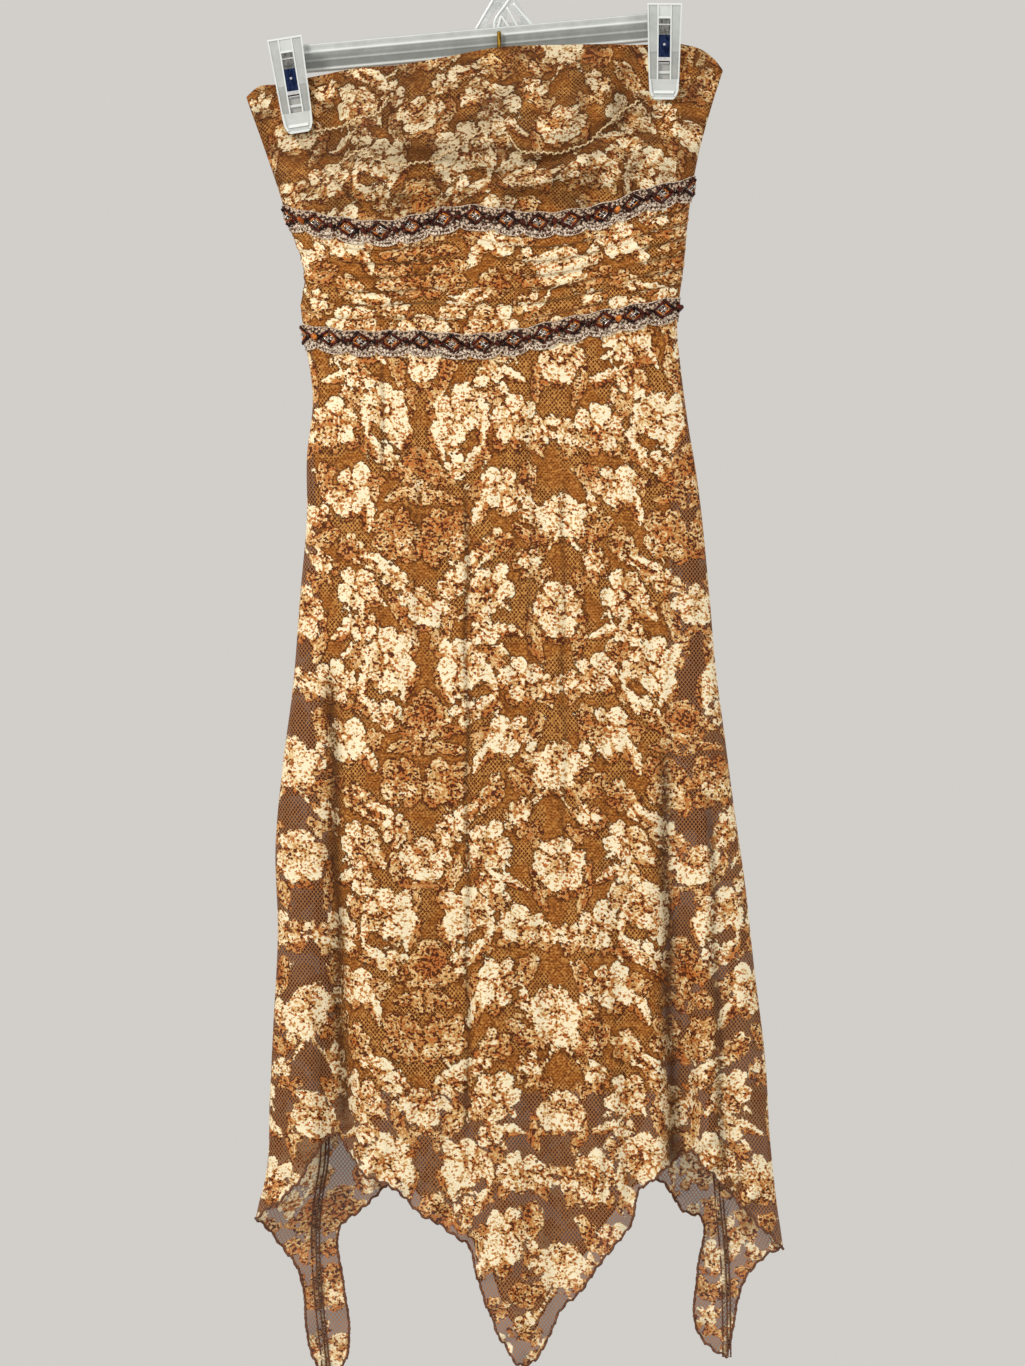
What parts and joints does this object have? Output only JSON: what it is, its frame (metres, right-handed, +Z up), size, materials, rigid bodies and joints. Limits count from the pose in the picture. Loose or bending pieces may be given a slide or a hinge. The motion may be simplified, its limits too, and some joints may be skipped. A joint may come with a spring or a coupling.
{
  "type": "strapless dress on a clip hanger and wall hook",
  "caption": "Strapless lace dress with a draped bodice, ruched midriff, beaded trims and a pointed handkerchief hem, hung flat from a clear clip hanger on a brass wall hook.",
  "frame": {"origin": "middle of the wall hook's plate, on its flat face against the wall", "axes": "+Y into the wall, +Z up, +X to the right as seen from the front; the dress hangs in front of the wall at negative Y"},
  "size_m": [0.461, 0.0665, 1.252],
  "materials": {
    "lace": "brown net with cream and rust flowers in shiny thread, partly see-through",
    "slip": "plain golden-brown knit with a soft sheen",
    "braid": "silvery lace braid with dark brown glass beads",
    "clear_plastic": "clear, slightly frosted",
    "brass": "aged",
    "spring_steel": "blued"
  },
  "bodies": {
    "root": {"bodice_front": "lace", "bodice_back": "lace", "midriff_front": "lace", "midriff_back": "lace", "skirt_front": "lace", "skirt_back": "lace", "slip_front": "slip", "slip_back": "slip", "slip_back_left": "slip", "slip_back_right": "slip", "trim_upper_front": "braid", "trim_upper_back": "braid", "trim_lower_front": "braid", "trim_lower_back": "braid", "hanger_bar": "clear_plastic", "hanger_foot": "clear_plastic", "hanger_hook": "clear_plastic", "clip_left_front": "clear_plastic", "clip_left_back": "clear_plastic", "clip_right_front": "clear_plastic", "clip_right_back": "clear_plastic", "spring_left": "spring_steel", "spring_right": "spring_steel", "wall_hook": "brass"}
  },
  "joints": []
}
